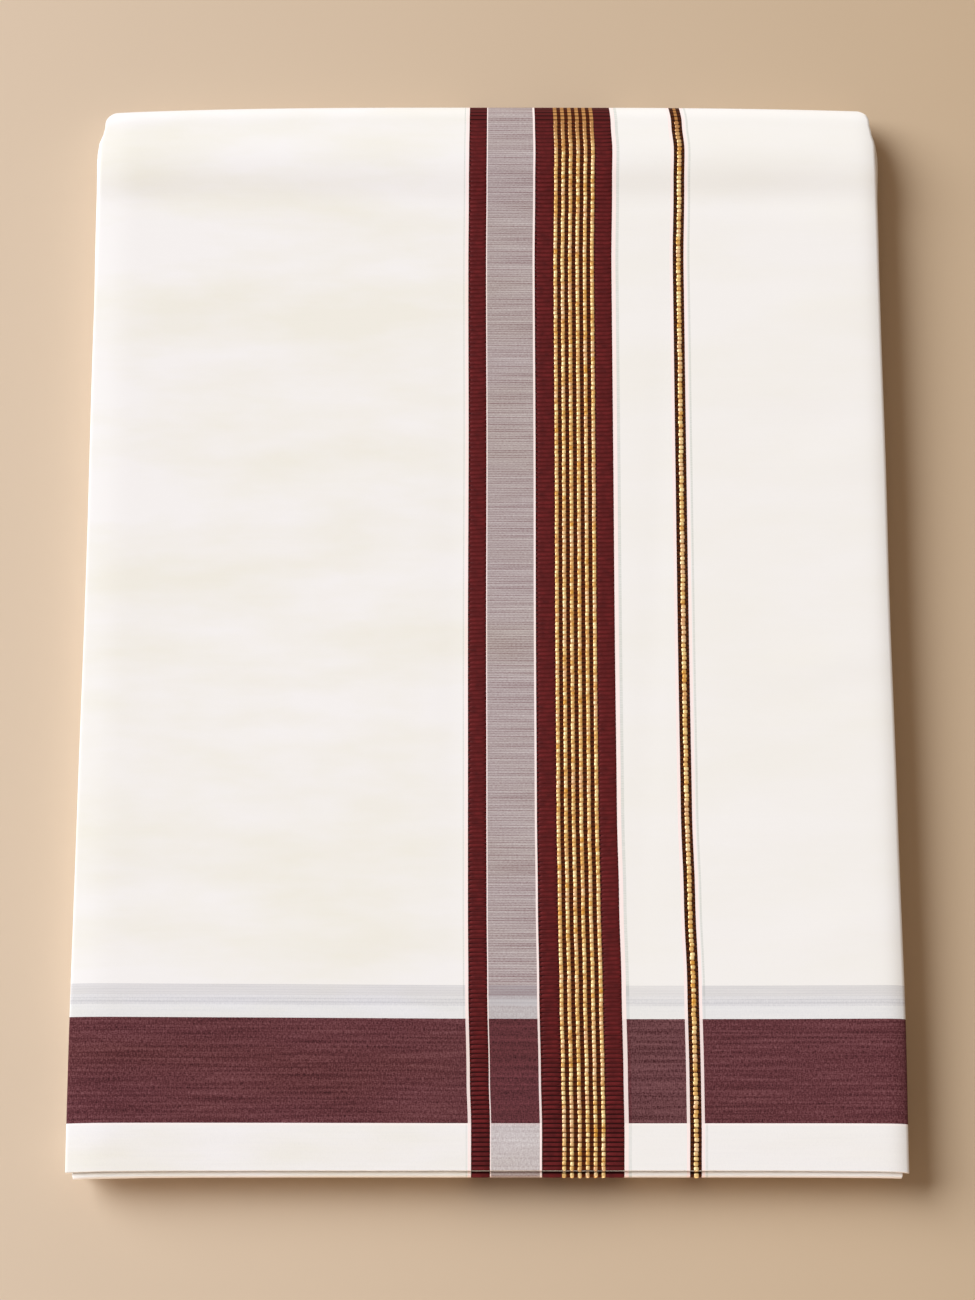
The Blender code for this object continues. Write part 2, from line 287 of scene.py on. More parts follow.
# The strip's section.  From the right selvedge, ply 1 runs left, folds under to ply 2, which runs right, and
# so on to ply 4 and the other selvedge, on the right again.  A point keeps its distance from one side or,
# in the middle, its share of the width.
SELVEDGE_BACK = 0.2 * MM         # the folded edge between plies 2 and 3 reaches out past both selvedges
LOWER_FOLD_BACK = 0.3 * MM       # the lower left folded edge stays behind the upper one
EDGE_ZONE = 9 * MM
FOLD_RADIUS = PLY_PITCH / 2
FOLD_STEPS = 6                   # round a folded edge
HIDDEN_STEPS = 16                # across the middle of a hidden ply
HIDDEN_STEP = 2 * MM             # near its edges
Section = namedtuple("Section", "share inset rise normal_x normal_rise ply")


def edge_insets(start, step):
    """Insets from a side, between an edge and the plain middle."""
    return spaced(start, EDGE_ZONE, step)[:-1]


def ply_points(ply, left_insets, right_insets, middle_steps):
    """Section points of one ply, 0 to 3 from the facing side, from left to right."""
    rise = (1.5 - ply) * PLY_PITCH
    facing = 1 if ply % 2 == 0 else -1
    points = [(0, inset - EDGE_ZONE) for inset in left_insets]
    points += [(share, 0) for share in np.linspace(0, 1, middle_steps + 1)]
    points += [(1, EDGE_ZONE - inset) for inset in right_insets[::-1]]
    return [Section(share, inset, rise, 0, facing, ply) for share, inset in points]


def edge_fold(upper_ply, side, back):
    """Section points round the folded edge between two plies."""
    middle = (1 - upper_ply) * PLY_PITCH
    points = []
    for step in range(1, FOLD_STEPS):
        angle = np.pi / 2 - np.pi * step / FOLD_STEPS
        normal = side * np.cos(angle)
        inset = side * (EDGE_ZONE - back + FOLD_RADIUS * np.cos(angle))
        facing = 1 if side < 0 else -1
        points.append(Section((1 + side) / 2, inset, middle + FOLD_RADIUS * np.sin(angle),
                              facing * normal, facing * np.sin(angle), upper_ply + 0.5))
    return points


def strip_section(top_steps=24, step=HIDDEN_STEP):
    """The whole zigzag section.  top_steps and step divide ply 1, and hidden plies have few points."""
    bend = FOLD_RADIUS + PLY / 2
    folded = edge_insets(bend, HIDDEN_STEP)
    lower_left = edge_insets(bend + LOWER_FOLD_BACK, HIDDEN_STEP)
    section = ply_points(0, edge_insets(bend, step), edge_insets(SELVEDGE_BACK, step), top_steps)[::-1]
    section += edge_fold(0, -1, bend)
    section += ply_points(1, folded, folded, HIDDEN_STEPS)
    section += edge_fold(1, 1, bend)
    section += ply_points(2, lower_left, folded, HIDDEN_STEPS)[::-1]
    section += edge_fold(2, -1, bend + LOWER_FOLD_BACK)
    section += ply_points(3, lower_left, edge_insets(SELVEDGE_BACK, HIDDEN_STEP), HIDDEN_STEPS)
    return section


# The woven stripes wander a little from the bundle's own line.  This is how far two of them do.
Drift = namedtuple("Drift", "y inner outer")
DRIFT = (
    Drift(y=0, inner=0, outer=0),
    Drift(y=17, inner=0, outer=0.2),
    Drift(y=35, inner=-0.5, outer=0.2),
    Drift(y=70, inner=-1.1, outer=-0.1),
    Drift(y=105, inner=-1.3, outer=-0.9),
    Drift(y=141, inner=-1.35, outer=-1.6),
    Drift(y=215, inner=-1.45, outer=-1.75),
    Drift(y=290, inner=-1.3, outer=-1.7),
    Drift(y=368, inner=-1.5, outer=-1.6),
    Drift(y=407, inner=-1.35, outer=-0.8),
    Drift(y=421, inner=-1.25, outer=-0.5),
    Drift(y=433, inner=-1.1, outer=-1.3),
    Drift(y=444, inner=-0.95, outer=-2.3),
)
INNER_STRIPE = -6 * MM
OUTER_STRIPE = 76 * MM

# The weft lines aren't quite square to the strip either: they lie this much further back (+) or nearer (-).
Skew = namedtuple("Skew", "x back")
WEFT_SKEW = (
    Skew(x=-155, back=0.45),
    Skew(x=-80, back=0.1),
    Skew(x=-18, back=-0.3),
    Skew(x=60, back=-0.55),
    Skew(x=110, back=-0.5),
    Skew(x=155, back=-0.3),
)
SKEW_REACH = 59 * MM             # it grows from nothing at the cut end to its full size here


def drift(x, y):
    """How far the weave has moved sideways at a place."""
    share = np.clip((x - INNER_STRIPE) / (OUTER_STRIPE - INNER_STRIPE), 0, 1)
    return eased(DRIFT, "inner", y) * (1 - share) + eased(DRIFT, "outer", y) * share


# The folded edges aren't quite straight.  They wander in waves, which shift a little from leaf to leaf.
WANDER = 0.22 * MM
WANDER_LENGTH = 150 * MM
Wander = namedtuple("Wander", "waves shift")
LEFT_WANDER = Wander(waves=1, shift=0.37)
RIGHT_WANDER = Wander(waves=1.3, shift=0.61)


def wander_in(side, y, slot):
    """How far a side's edge draws in at a place."""
    return WANDER * (1 + np.sin(2 * np.pi * (y / WANDER_LENGTH * side.waves + side.shift * slot))) / 2


def side_places(path, width_column):
    """Where the strip's left and right sides are at each station."""
    y = np.array([station.y for station in path])
    slot = (np.array([station.z for station in path]) - LEAF / 2) / LEAF_PITCH
    corner = np.array([station.corner for station in path])
    half_width = eased(WIDTHS, width_column, y) - corner
    slots = range(len(LEAF_EDGES))
    left_back = np.interp(slot, slots, [edge.left * MM for edge in LEAF_EDGES])
    right_back = np.interp(slot, slots, [edge.right * MM for edge in LEAF_EDGES])
    left = left_back + wander_in(LEFT_WANDER, y, slot) - half_width
    right = half_width - right_back - wander_in(RIGHT_WANDER, y, slot)
    return left, right


def path_lengths(path, start):
    """Each station's place along the cloth, from the cut end of leaf 1."""
    places = np.array([(station.y, station.z) for station in path])
    steps = np.linalg.norm(np.diff(places, axis=0), axis=1)
    return start + np.concatenate([[0], np.cumsum(steps)])


def cloth_points(path, section, left, right, face):
    """Points on one face of the strip (1 or -1) in the even stack, a row of them for each station."""
    share, inset, rise, normal_x, normal_rise, _ = np.array(section).T
    anchor = np.outer(left + EDGE_ZONE, 1 - share) + np.outer(right - EDGE_ZONE, share)
    x = anchor + inset + face * PLY / 2 * normal_x
    off = rise + face * PLY / 2 * normal_rise
    middle = np.array([(station.y, station.z) for station in path])
    facing = np.array([(station.facing_y, station.facing_z) for station in path])
    y = middle[:, :1] + facing[:, :1] * off
    z = middle[:, 1:] + facing[:, 1:] * off
    return np.stack([x, y, z], axis=-1)


def from_selvedge(points, section):
    """Distance from the nearer selvedge, along the unfolded cloth."""
    x = points[..., 0] - drift(points[..., 0], points[..., 1])
    ply = np.array([point.ply for point in section])
    outside = np.isin(ply, (0, 3))
    inside = np.isin(ply, (1, 2))
    folded = np.where(ply == 1.5, 4 * HALF_WIDTH, 2 * HALF_WIDTH)
    return np.where(outside, HALF_WIDTH - x, np.where(inside, 3 * HALF_WIDTH + x, folded))


SELVEDGE_ROUNDING = 0.08 * MM    # a selvedge's middle stands out this far
CRISP_EDGE = 60                  # degrees


def add_object(name, data):
    """A new object in the scene."""
    thing = bpy.data.objects.new(name, data)
    bpy.context.collection.objects.link(thing)
    return thing


def make_cloth(name, path, width_column, start, section):
    """A closed thin shell: the strip's section swept along a path, with the weave's own coordinates."""
    left, right = side_places(path, width_column)
    along = path_lengths(path, start)
    outer = cloth_points(path, section, left, right, 1)
    inner = cloth_points(path, section, left, right, -1)
    last_edge = (outer[:, -1:] + inner[:, -1:]) / 2 + [SELVEDGE_ROUNDING, 0, 0]
    first_edge = (outer[:, :1] + inner[:, :1]) / 2 + [SELVEDGE_ROUNDING, 0, 0]
    ring = np.concatenate([outer, last_edge, inner[:, ::-1], first_edge], axis=1)
    across = from_selvedge(cloth_points(path, section, left, right, 0), section)
    across = np.concatenate([across, across[:, -1:], across[:, ::-1], across[:, :1]], axis=1)
    from_end = np.minimum(along, CLOTH_LENGTH - along)[:, None]
    skew = np.interp(ring[..., 0], *np.transpose(WEFT_SKEW) * MM)
    weave = np.stack([across, from_end - skew * np.clip(from_end / SKEW_REACH, 0, 1)], axis=-1)

    rows, columns = ring.shape[:2]
    place = np.arange(rows * columns).reshape(rows, columns)
    beside = np.roll(place, -1, axis=1)
    sides = np.stack([place[:-1], beside[:-1], beside[1:], place[1:]], axis=-1).reshape(-1, 4)
    count = len(section)
    last_row = place[-1, 0]
    outside = np.arange(count - 1)
    inside = 2 * count - outside
    end_cap = np.stack([outside, outside + 1, inside - 1, inside], axis=-1)
    quads = np.concatenate([sides, end_cap[:, ::-1], end_cap + last_row])
    selvedge_caps = np.array([(count - 1, count, count + 1), (2 * count, 2 * count + 1, 0)])
    triangles = np.concatenate([selvedge_caps[:, ::-1], selvedge_caps + last_row])

    mesh = bpy.data.meshes.new(name)
    mesh.from_pydata(settle(ring).reshape(-1, 3), [], quads.tolist() + triangles.tolist())
    corners = np.zeros(len(mesh.loops), np.int32)
    mesh.loops.foreach_get("vertex_index", corners)
    layer = mesh.uv_layers.new(name="weave")
    layer.data.foreach_set("uv", weave.reshape(-1, 2)[corners].astype(np.float32).ravel())
    mesh.validate()
    mesh.shade_smooth()
    mesh.set_sharp_from_angle(angle=np.radians(CRISP_EDGE))
    return add_object(name, mesh)


outer_leaf = make_cloth("dhoti_outer_leaf", outer_path, "outer", 0.0, strip_section(88, 1 * MM))
outer_length = path_lengths(outer_path, 0.0)[-1]

# Handloom cotton: plain weave of fine matt yarn, so it scatters light softly and shows thicker yarns as
# cream streaks along the weft.  Coloured warps make the border; there the warps are packed so close that
# they hide the weft, and the cloth is ribbed.  A maroon weft, beaten tight, makes the cross band.


def srgb(hex_colour, alpha=1.0):
    """An sRGB hex colour as linear RGB and alpha."""
    values = [int(hex_colour[i:i + 2], 16) / 255 for i in (1, 3, 5)]
    linear = [v / 12.92 if v <= 0.04045 else ((v + 0.055) / 1.055) ** 2.4 for v in values]
    return (*linear, alpha)


def add_node(tree, kind, inputs=None, bands=None, **settings):
    """Adds a node with its settings, inputs (values or links) and a ramp's bands, and gives its outputs."""
    node = tree.nodes.new(kind)
    for name, value in settings.items():
        setattr(node, name, value)
    for key, value in (inputs or {}).items():
        if isinstance(value, bpy.types.NodeSocket):
            tree.links.new(value, node.inputs[key])
        else:
            node.inputs[key].default_value = value
    if bands:
        ramp = node.color_ramp
        ramp.interpolation = "CONSTANT"
        while len(ramp.elements) < len(bands):
            ramp.elements.new(1.0)
        for element, (position, colour) in zip(ramp.elements, bands):
            element.position = position
            element.color = colour
    return node.outputs


def start_material(name, finish):
    """A new material, its nodes and its shader.  finish holds what is the same all over the surface."""
    material = bpy.data.materials.new(name)
    material.use_nodes = True
    shader = material.node_tree.nodes["Principled BSDF"]
    for key, value in finish.items():
        shader.inputs[key].default_value = value
    return material, material.node_tree, shader


GROUND = "#F4F0EE"
GREY_LINE = "#C9CCC6"
PALE_LINE = "#FFECEA"
BROWN = "#4A220B"
MAROON = "#571B1B"
WOVEN_GOLD = "#C48C54"
# Warp bands, from the selvedge inwards.  seen is the share of the surface that shows warp in plain rows.
Warp = namedtuple("Warp", "start colour seen")
BORDER_START = 70 * MM
BORDER_SPAN = 102 * MM
WARPS = (
    Warp(start=70, colour=GROUND, seen=0.5),
    Warp(start=75.8, colour=GREY_LINE, seen=0.5),
    Warp(start=76.6, colour=GROUND, seen=0.5),
    Warp(start=77.05, colour=PALE_LINE, seen=0.985),
    Warp(start=78.15, colour=BROWN, seen=1),
    Warp(start=79.6, colour="#B67E48", seen=1),
    Warp(start=81.15, colour=BROWN, seen=1),
    Warp(start=82.7, colour=PALE_LINE, seen=0.985),
    Warp(start=83.85, colour=GROUND, seen=0.65),
    Warp(start=104.6, colour=GREY_LINE, seen=0.5),
    Warp(start=105.6, colour=GROUND, seen=0.5),
    Warp(start=105.8, colour=PALE_LINE, seen=0.985),
    Warp(start=107.4, colour=MAROON, seen=1),
    Warp(start=114.4, colour="#53220A", seen=1),
    Warp(start=130.9, colour=MAROON, seen=1),
    Warp(start=138.15, colour=PALE_LINE, seen=0.985),
    Warp(start=138.95, colour="#611C2C", seen=0.605),
    Warp(start=157.3, colour=PALE_LINE, seen=0.985),
    Warp(start=158.05, colour="#591B1C", seen=1),
    Warp(start=164.95, colour=PALE_LINE, seen=0.985),
    Warp(start=166.2, colour=GROUND, seen=0.5),
    Warp(start=166.7, colour=GREY_LINE, seen=0.5),
    Warp(start=167.2, colour=GROUND, seen=0.5),
)
# Weft bands, from the cut end.  beaten is how tightly the weft covers the warp, 1 in the plain cloth.
Weft = namedtuple("Weft", "start colour beaten")
END_BAND_SPAN = 76 * MM
BEATEN_HARD = 1.6                # above this, the weft is drawn as in an end band
TIGHTEST = 9
WEFTS = (
    Weft(start=0, colour="#F2EEEE", beaten=1.75),
    Weft(start=17.2, colour="#FFF4F3", beaten=1.8),
    Weft(start=18, colour="#613338", beaten=TIGHTEST),
    Weft(start=58.7, colour="#E3E2E5", beaten=1.9),
    Weft(start=63.8, colour="#D9D7DB", beaten=3),
    Weft(start=64.6, colour="#CDCBD0", beaten=3),
    Weft(start=65.1, colour="#D9D7DB", beaten=3),
    Weft(start=66, colour="#CDCBD0", beaten=3),
    Weft(start=66.5, colour="#D9D7DB", beaten=2),
    Weft(start=67.6, colour="#CECBCE", beaten=1.5),
    Weft(start=71.7, colour=GROUND, beaten=1),
)

cotton, tree, shader = start_material("handloom_cotton", {
    "Roughness": 0.88, "Specular IOR Level": 0.08, "Sheen Weight": 0.03, "Sheen Roughness": 0.5})
weave_map = add_node(tree, "ShaderNodeUVMap", uv_map="weave")[0]
weave_axes = add_node(tree, "ShaderNodeSeparateXYZ", {0: weave_map})
warp_place = add_node(tree, "ShaderNodeMapRange", {
    "Value": weave_axes[0], "From Min": BORDER_START, "From Max": BORDER_START + BORDER_SPAN})[0]
weft_place = add_node(tree, "ShaderNodeMapRange", {
    "Value": weave_axes[1], "From Min": 0.0, "From Max": END_BAND_SPAN})[0]
warp = add_node(tree, "ShaderNodeValToRGB", {0: warp_place}, bands=[
    ((band.start * MM - BORDER_START) / BORDER_SPAN, srgb(band.colour, band.seen)) for band in WARPS])
weft = add_node(tree, "ShaderNodeValToRGB", {0: weft_place}, bands=[
    (band.start * MM / END_BAND_SPAN, srgb(band.colour, band.beaten / TIGHTEST)) for band in WEFTS])

# The real yarns are 0.3 mm apart, too fine to show, so they are drawn coarser: in the plain body as even
# lines across with longer, uneven ones between, and in the end bands as short yarns both ways.
PICK_PITCH = 1.0 * MM
Yarn = namedtuple("Yarn", "across along")
LONG_WEFT = Yarn(across=40 * MM, along=1 * MM)
SHORT_WEFT = Yarn(across=0.9 * MM, along=0.35 * MM)
WARP_YARN = Yarn(across=0.35 * MM, along=1.8 * MM)
long_weft, short_weft, warp_yarns = [add_node(tree, "ShaderNodeTexNoise", {
    "Vector": add_node(tree, "ShaderNodeVectorMath", {0: weave_map, 1: (1 / yarn.across, 1 / yarn.along, 1)},
                       operation="MULTIPLY")[0],
    "Scale": 1.0, "Detail": 1.0, "Roughness": 0.6}, noise_dimensions="2D")[0]
    for yarn in (LONG_WEFT, SHORT_WEFT, WARP_YARN)]
# How strongly the even and the uneven lines show, and in the end bands the short yarns and the long ones.
EVEN_PICKS, UNEVEN_PICKS = 0.12, 0.45
SHORT_YARNS, LONG_YARNS = 0.85, 0.62
pick_angle = add_node(tree, "ShaderNodeMath", {0: weave_axes[1], 1: 2 * np.pi / PICK_PITCH},
                      operation="MULTIPLY")[0]
pick_lines = add_node(tree, "ShaderNodeMath", {0: pick_angle}, operation="SINE")[0]
uneven_picks = add_node(tree, "ShaderNodeMath", {
    0: add_node(tree, "ShaderNodeMath", {0: long_weft, 1: short_weft}, operation="ADD")[0],
    1: -UNEVEN_PICKS, 2: UNEVEN_PICKS}, operation="MULTIPLY_ADD")[0]
in_body = add_node(tree, "ShaderNodeMath", {0: pick_lines, 1: EVEN_PICKS, 2: uneven_picks},
                   operation="MULTIPLY_ADD")[0]
yarns_across = add_node(tree, "ShaderNodeMath", {0: warp_yarns, 1: short_weft}, operation="SUBTRACT")[0]
weft_lines = add_node(tree, "ShaderNodeMath", {0: long_weft, 1: LONG_YARNS, 2: -LONG_YARNS / 2},
                      operation="MULTIPLY_ADD")[0]
in_ends = add_node(tree, "ShaderNodeMath", {0: yarns_across, 1: SHORT_YARNS, 2: weft_lines},
                   operation="MULTIPLY_ADD")[0]
beaten = add_node(tree, "ShaderNodeMath", {0: weft[1], 1: TIGHTEST}, operation="MULTIPLY")[0]
in_end_band = add_node(tree, "ShaderNodeMath", {0: beaten, 1: BEATEN_HARD}, operation="GREATER_THAN")[0]
on_top = add_node(tree, "ShaderNodeMix", {0: in_end_band, 2: in_body, 3: in_ends})[0]
seen_plain = add_node(tree, "ShaderNodeMath", {0: warp[1], 1: beaten}, operation="POWER")[0]
# The yarns only alternate where both show, which is where the share seen is neither 0 nor 1.
CONTRAST = 3.0
both = add_node(tree, "ShaderNodeMath", {
    0: warp[1], 1: add_node(tree, "ShaderNodeMath", {0: 1.0, 1: warp[1]}, operation="SUBTRACT")[0]},
    operation="MULTIPLY")[0]
contrast = add_node(tree, "ShaderNodeMath", {
    0: add_node(tree, "ShaderNodeMath", {0: both, 1: CONTRAST}, operation="MULTIPLY")[0], 1: beaten},
    operation="DIVIDE")[0]
flicker = add_node(tree, "ShaderNodeMath", {0: on_top, 1: contrast}, operation="MULTIPLY")[0]
seen = add_node(tree, "ShaderNodeMath", {0: seen_plain, 1: flicker}, operation="ADD", use_clamp=True)[0]
# Each weft yarn is also a little lighter or darker than the next, most of all in the thick cross band.
YARN_SHADE = 0.018
tightness = add_node(tree, "ShaderNodeMath", {0: beaten, 1: 2.0}, operation="POWER")[0]
shade = add_node(tree, "ShaderNodeMath", {
    0: add_node(tree, "ShaderNodeMath", {0: on_top, 1: tightness}, operation="MULTIPLY")[0],
    1: YARN_SHADE, 2: 1.0}, operation="MULTIPLY_ADD")[0]
shaded_weft = add_node(tree, "ShaderNodeVectorMath", {0: weft[0], 1: shade}, operation="MULTIPLY")[0]
woven = add_node(tree, "ShaderNodeMix", {0: seen, 6: shaded_weft, 7: warp[0]}, data_type="RGBA")[2]

# Six gold lines in the broad border band.
GOLD_START = 114.6 * MM
GOLD_PITCH = 2.96 * MM
GOLD_WIDTH = 1.45 * MM
gold_place = add_node(tree, "ShaderNodeMath", {
    0: add_node(tree, "ShaderNodeMath", {0: weave_axes[0], 1: GOLD_START}, operation="SUBTRACT")[0],
    1: GOLD_PITCH}, operation="DIVIDE")[0]
in_line = add_node(tree, "ShaderNodeMath", {
    0: add_node(tree, "ShaderNodeMath", {0: gold_place}, operation="FRACT")[0],
    1: GOLD_WIDTH / GOLD_PITCH}, operation="LESS_THAN")[0]
in_six = add_node(tree, "ShaderNodeMath", {0: gold_place, 1: 3.0, 2: 3.0}, operation="COMPARE")[0]
gold_line = add_node(tree, "ShaderNodeMath", {0: in_line, 1: in_six}, operation="MULTIPLY")[0]
woven = add_node(tree, "ShaderNodeMix", {0: gold_line, 6: woven, 7: srgb(WOVEN_GOLD)}, data_type="RGBA")[2]

# Soft cream patches, where less bleached yarn runs along the weft.  Across the border, towards the
# selvedge, they fade into an even tint.
CREAM_PATCH = Yarn(across=90 * MM, along=28 * MM)
FULLEST_CREAM, EVEN_CREAM = 0.42, 0.15
cream_patch = add_node(tree, "ShaderNodeTexNoise", {
    "Vector": add_node(tree, "ShaderNodeVectorMath", {
        0: weave_map, 1: (1 / CREAM_PATCH.across, 1 / CREAM_PATCH.along, 1)}, operation="MULTIPLY")[0],
    "Scale": 1.0, "Detail": 4.0, "Roughness": 0.55}, noise_dimensions="2D")[0]
patches_far = add_node(tree, "ShaderNodeMapRange", {
    "Value": cream_patch, "From Min": 0.35, "From Max": 0.7, "To Max": FULLEST_CREAM})[0]
far_from_selvedge = add_node(tree, "ShaderNodeMapRange", {
    "Value": weave_axes[0], "From Min": 105 * MM, "From Max": 190 * MM, "To Min": 0.35})[0]
cream_share = add_node(tree, "ShaderNodeMix", {0: far_from_selvedge, 2: EVEN_CREAM, 3: patches_far})[0]
streaked = add_node(tree, "ShaderNodeMix", {
    0: cream_share, 6: woven, 7: srgb("#F3F1DA")}, data_type="RGBA", blend_type="MULTIPLY")[2]

# Ribs in the warp-faced border, where warp alone is seen: a bump gives each rib its relief, and painted
# shade darkens the furrow between each two.
RIB_PITCH = 1.8 * MM
WARP_FACED = 0.992
FURROW_DEPTH = -1.6              # against the height of a plain yarn
rib_angle = add_node(tree, "ShaderNodeMath", {0: weave_axes[1], 1: 2 * np.pi / RIB_PITCH},
                     operation="MULTIPLY")[0]
rib_wave = add_node(tree, "ShaderNodeMath", {0: rib_angle}, operation="COSINE")[0]
warp_faced = add_node(tree, "ShaderNodeMath", {0: warp[1], 1: WARP_FACED}, operation="GREATER_THAN")[0]
# Painted shade: the colour is darkened towards #2A0A0A in each furrow between two ribs.
furrow_shade_wave = add_node(tree, "ShaderNodeMapRange", {"Value": rib_wave, "From Min": 0.2, "To Max": 0.85})[0]
painted_furrow_shade = add_node(tree, "ShaderNodeMath", {0: furrow_shade_wave, 1: warp_faced}, operation="MULTIPLY")[0]
coloured_with_furrow_shade = add_node(tree, "ShaderNodeMix", {
    0: painted_furrow_shade, 6: streaked, 7: srgb("#2A0A0A")}, data_type="RGBA", blend_type="MULTIPLY")[2]

yarn_height = add_node(tree, "ShaderNodeMath", {0: long_weft, 1: warp_yarns}, operation="MAXIMUM")[0]
rib_height = add_node(tree, "ShaderNodeMath", {0: rib_wave, 1: FURROW_DEPTH}, operation="MULTIPLY")[0]
height = add_node(tree, "ShaderNodeMix", {0: warp_faced, 2: yarn_height, 3: rib_height})[0]
relief = add_node(tree, "ShaderNodeBump", {"Height": height, "Distance": 0.05 * MM, "Strength": 0.5})[0]
tree.links.new(coloured_with_furrow_shade, shader.inputs["Base Color"])
tree.links.new(relief, shader.inputs["Normal"])

outer_leaf.data.materials.append(cotton)
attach(outer_leaf, "root")
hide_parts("outer_leaf")

# ---- Second fold ----
# Leaves 4 and 5 of the same strip.  Their front fold reaches out 2 mm from under the cut end, with the
# border of the cloth's other selvedge on it.  At the back they nest inside the big fold.

SECOND_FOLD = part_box("second_fold")[0].y - CUT_END
SECOND_FOLD_CENTRE = centre_behind(SECOND_FOLD)
LEAF_START = 0.8 * MM            # the leaves' first stations behind that fold
second_path = turn((1, 6), TURN, 1, -1, np.linspace(0.5 + SEAM, 1, 6), BACK_CORNER)
second_path += leaf_run(6, [*beyond(SECOND_FOLD_CENTRE)[::-1], LEAF_START], -1, SECOND_FOLD, SHOWN_CORNER)
second_path += turn((6, 5), SECOND_FOLD_CENTRE, -1, -1, np.linspace(0, 1, 25), SHOWN_CORNER)
second_path += leaf_run(5, [LEAF_START, *beyond(SECOND_FOLD_CENTRE), TURN], 1, SECOND_FOLD, SHOWN_CORNER)
second_path += turn((5, 2), TURN, 1, 1, np.linspace(0, 0.5 - SEAM, 5)[1:], BACK_CORNER)
second_fold = make_cloth("dhoti_second_fold", second_path, "second", outer_length, strip_section())
second_end = path_lengths(second_path, outer_length)[-1]
second_fold.data.materials.append(cotton)
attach(second_fold, "root")
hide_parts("second_fold")

# ---- Inner folds ----
# Leaves 6, 7 and 8, which only show at the sides of the bundle and under its front edge.  Leaf 8 ends in
# the cloth's other cut end, 2.6 mm behind the first.

THIRD_FOLD = 1.2 * MM
THIRD_FOLD_CENTRE = centre_behind(THIRD_FOLD)
OTHER_CUT_END = 2.6 * MM
inner_path = turn((5, 2), TURN, 1, 1, np.linspace(0.5 + SEAM, 1, 5), BACK_CORNER)
inner_path += leaf_run(2, beyond(THIRD_FOLD_CENTRE)[::-1], -1, THIRD_FOLD)
inner_path += turn((2, 3), THIRD_FOLD_CENTRE, -1, 1, np.linspace(0, 1, 9), FRONT_CORNER)
inner_path += leaf_run(3, beyond(THIRD_FOLD_CENTRE), 1, THIRD_FOLD)
inner_path += turn((3, 4), TURN, 1, -1, np.linspace(0, 1, 7), BACK_CORNER)
inner_path += leaf_run(4, [*beyond(OTHER_CUT_END)[::-1], OTHER_CUT_END], -1)
inner_folds = make_cloth("dhoti_inner_folds", inner_path, "hidden", second_end, strip_section())
inner_folds.data.materials.append(cotton)
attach(inner_folds, "root")
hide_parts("inner_folds")

# ---- Border ribs and gold lines ----
# In the border the warp yarns float over cords of bunched weft, 1.8 mm apart: low maroon ribs across each
# band, and a bead of gold zari, which is metal foil wound on yarn, over each cord in the seven gold lines.

Float = namedtuple("Float", "x width kind")
FLOATS = (
    Float(x=-2.5, width=6.6, kind="rib"),
    Float(x=24.5, width=7, kind="rib"),
    Float(x=48.1, width=6.9, kind="rib"),
    Float(x=28.9, width=1.5, kind="bead"),
    Float(x=31.8, width=1.5, kind="bead"),
    Float(x=34.75, width=1.5, kind="bead"),
    Float(x=37.75, width=1.5, kind="bead"),
    Float(x=40.75, width=1.5, kind="bead"),
    Float(x=43.7, width=1.5, kind="bead"),
    Float(x=78.6, width=1.9, kind="bead"),
)
FLOATS_START = 0.75 * MM
FLAT_FROM = 412 * MM             # over the big fold they lie ever flatter, and in the end are only drawn
FLOATS_END = 434 * MM
LEAST_HEIGHT = 0.2
JUST_ABOVE = 0.1 * MM


def float_lines(name, kind, path, outer_ply):
    """A line on the cloth for each band of one kind.

    Its points hold the way up, the band's width, and how tall the floats stand there.
    """
    y = np.array([station.y for station in path])
    points, ups, widths, heights, edges = [], [], [], [], []
    flattened = (1 - LEAST_HEIGHT) * (y - FLAT_FROM) / (FLOATS_END - FLAT_FROM)
    for band in [band for band in FLOATS if band.kind == kind]:
        x = band.x * MM + drift(np.full_like(y, band.x * MM), y)
        middle = np.array([(station.y, station.z) for station in path])
        facing = np.array([(station.facing_y, station.facing_z) for station in path])
        facing = facing * (1 if outer_ply == 0 else -1)
        on_cloth = middle + facing * LEAF / 2
        above = on_cloth + facing * JUST_ABOVE
        low = settle(np.column_stack([x, on_cloth]))
        up = settle(np.column_stack([x, above])) - low
        first = len(points)
        points += low.tolist()
        ups += (up / np.linalg.norm(up, axis=1)[:, None]).tolist()
        widths += [band.width * MM] * len(y)
        heights += np.clip(1 - flattened, LEAST_HEIGHT, 1).tolist()
        edges += [(i, i + 1) for i in range(first, first + len(y) - 1)]
    mesh = bpy.data.meshes.new(name)
    mesh.from_pydata(points, edges, [])
    mesh.attributes.new("way_up", "FLOAT_VECTOR", "POINT").data.foreach_set("vector", np.ravel(ups))
    mesh.attributes.new("band_width", "FLOAT", "POINT").data.foreach_set("value", widths)
    mesh.attributes.new("relative_height", "FLOAT", "POINT").data.foreach_set("value", heights)
    return add_object(name, mesh)


PAD_SIDES = 12
Ring = namedtuple("Ring", "size height")
PAD_RINGS = (Ring(size=0.6, height=0.44), Ring(size=0.9, height=0.24), Ring(size=1.0, height=-0.5))


def squarer(wave):
    """Draws a circle's sine or cosine out towards a square's."""
    return np.sign(wave) * np.abs(wave) ** 0.5


